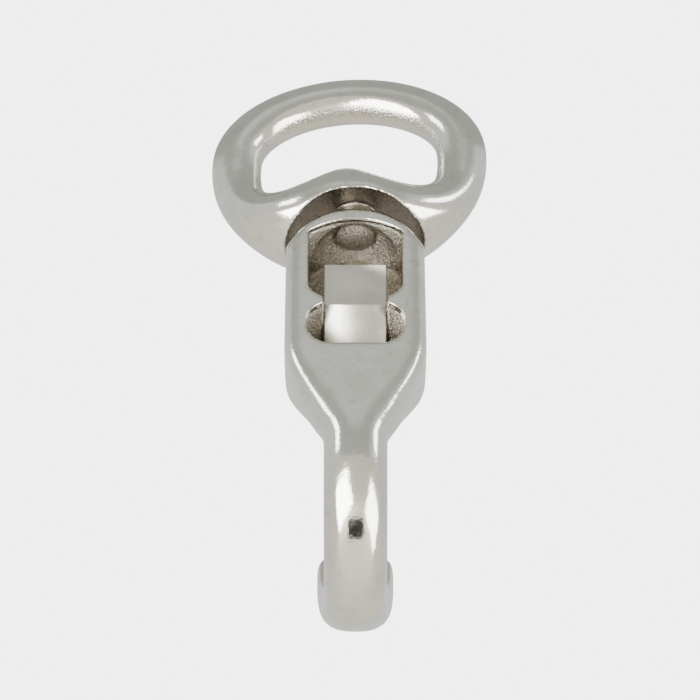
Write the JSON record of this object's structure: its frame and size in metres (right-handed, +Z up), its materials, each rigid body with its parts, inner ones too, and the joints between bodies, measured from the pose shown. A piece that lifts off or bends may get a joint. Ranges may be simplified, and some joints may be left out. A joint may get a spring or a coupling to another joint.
{
  "type": "swivel hook",
  "caption": "Swivel eye spring snap hook: wide oval eye on a dished hub, domed windowed cage, curved hook and a sprung flat gate that closes on the nose.",
  "frame": {"origin": "on the swivel axis at the top of the eye's opening, where the carrying ring or strap bears", "axes": "+Z up the swivel axis towards the eye, the spine faces -Y, the gate and nose are on the +Y side, X is across the hook"},
  "size_m": [0.0406, 0.0412, 0.0851],
  "materials": {
    "plated_eye": "bright nickel plate over a casting",
    "plated_body": "bright nickel plate over a casting, rough as cast inside the cage",
    "rivet_steel": "plated steel, hammered head",
    "gate_steel": "smooth plated steel",
    "pin_steel": "plated steel",
    "spring_steel": "spring wire"
  },
  "bodies": {
    "eye": {"swivel_eye": "plated_eye", "swivel_rivet": "rivet_steel"},
    "hook": {"hook_body": "plated_body", "gate_pin": "pin_steel", "gate_spring": "spring_steel"},
    "gate": {"gate": "gate_steel"}
  },
  "joints": [
    {"name": "swivel", "type": "hinge", "parent": "eye", "child": "hook", "pos_m": [0, 0, -0.0229], "axis": [0, 0, 1], "continuous": true},
    {"name": "gate_pivot", "type": "hinge", "parent": "hook", "child": "gate", "pos_m": [0, -0.00025, -0.03675], "axis": [-1, 0, 0], "range_deg": [0, 17], "stiffness_Nm_per_rad": 0.04, "springref_deg": -45.84, "deforming": ["gate_spring"]}
  ]
}
